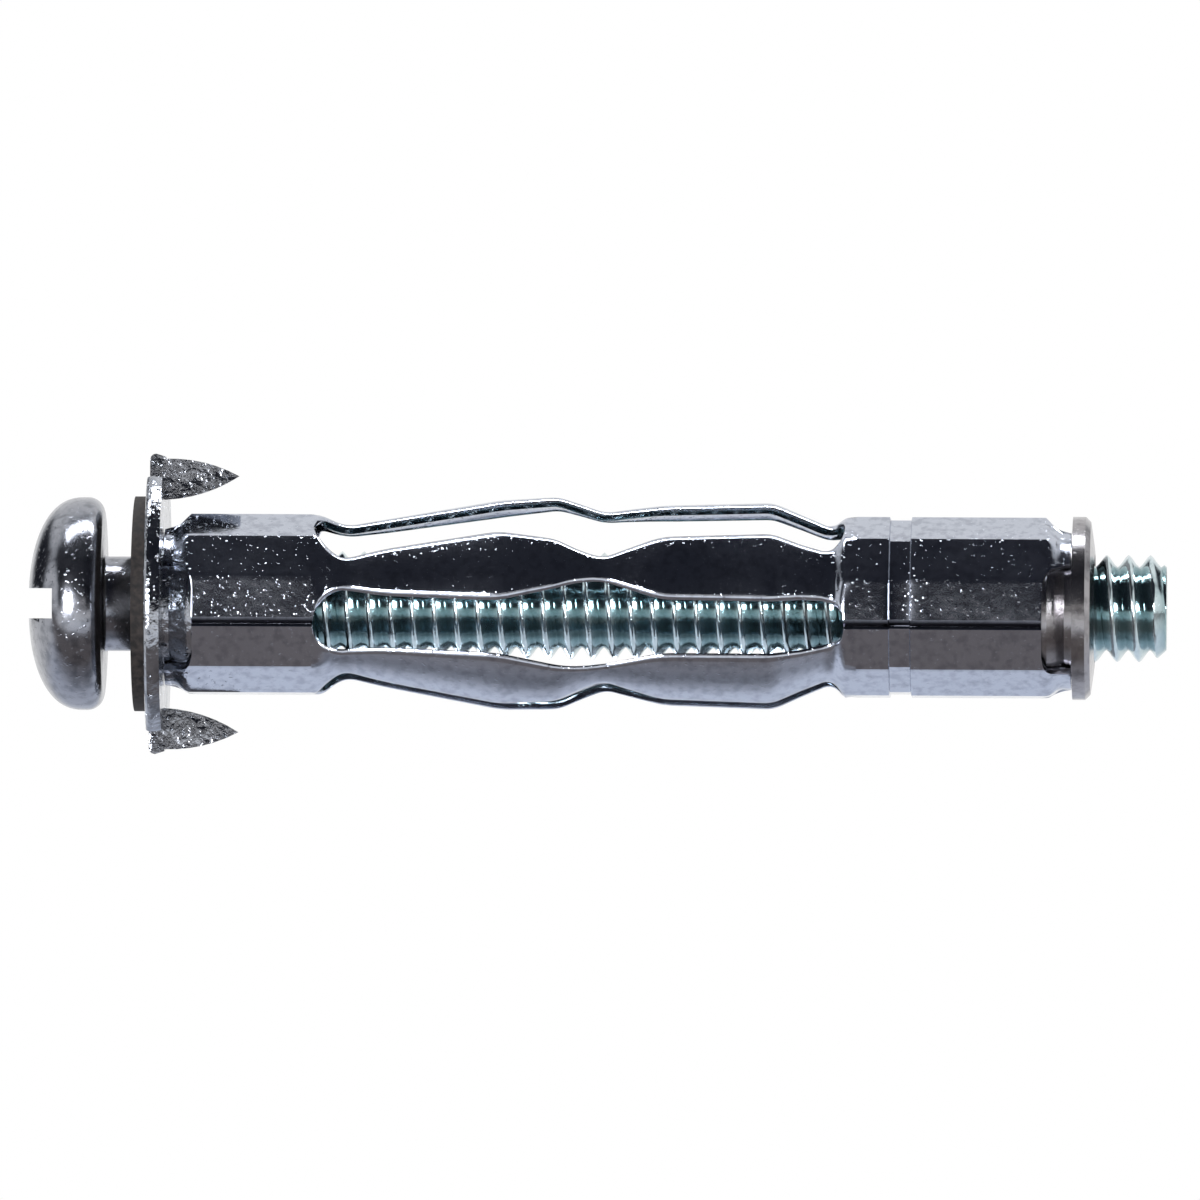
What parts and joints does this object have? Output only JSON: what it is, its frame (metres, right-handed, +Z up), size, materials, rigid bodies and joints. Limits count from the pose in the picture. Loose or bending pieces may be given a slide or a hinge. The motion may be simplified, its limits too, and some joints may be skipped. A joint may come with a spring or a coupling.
{
  "type": "hollow wall anchor",
  "caption": "Zinc plated hollow wall anchor with a spiked flange, a slotted sleeve of waved legs, a flanged nut and a slotted pan head machine screw.",
  "frame": {"origin": "on the screw axis, at the flange face that seats on the wall", "axes": "+X along the screw axis into the wall, +Z up through one prong, so the prongs lie above and below the axis"},
  "size_m": [0.0661, 0.0176, 0.0174],
  "materials": {
    "zinc_flange": "bright zinc plating",
    "zinc_sleeve": "bright zinc plating on rolled sheet",
    "zinc_nut": "bright zinc plating",
    "black_fibre": "matte black fibre",
    "zinc_screw": "bright zinc plating with a faint blue tint"
  },
  "bodies": {
    "anchor": {"sleeve": "zinc_sleeve", "flange": "zinc_flange", "nut": "zinc_nut"},
    "washer": {"washer": "black_fibre"},
    "screw": {"screw": "zinc_screw"}
  },
  "joints": [
    {"name": "screw_travel", "type": "slide", "parent": "anchor", "child": "washer", "axis": [1, 0, 0], "range_m": [-0.01524, 0]},
    {"name": "screw_turn", "type": "hinge", "parent": "washer", "child": "screw", "pos_m": [0.0485, 0, 0], "axis": [1, 0, 0], "range_deg": [-4320, 0]}
  ],
  "couplings": [
    {"joint": "screw_turn", "follows": "screw_travel", "rad_per_m": 4947.4}
  ]
}
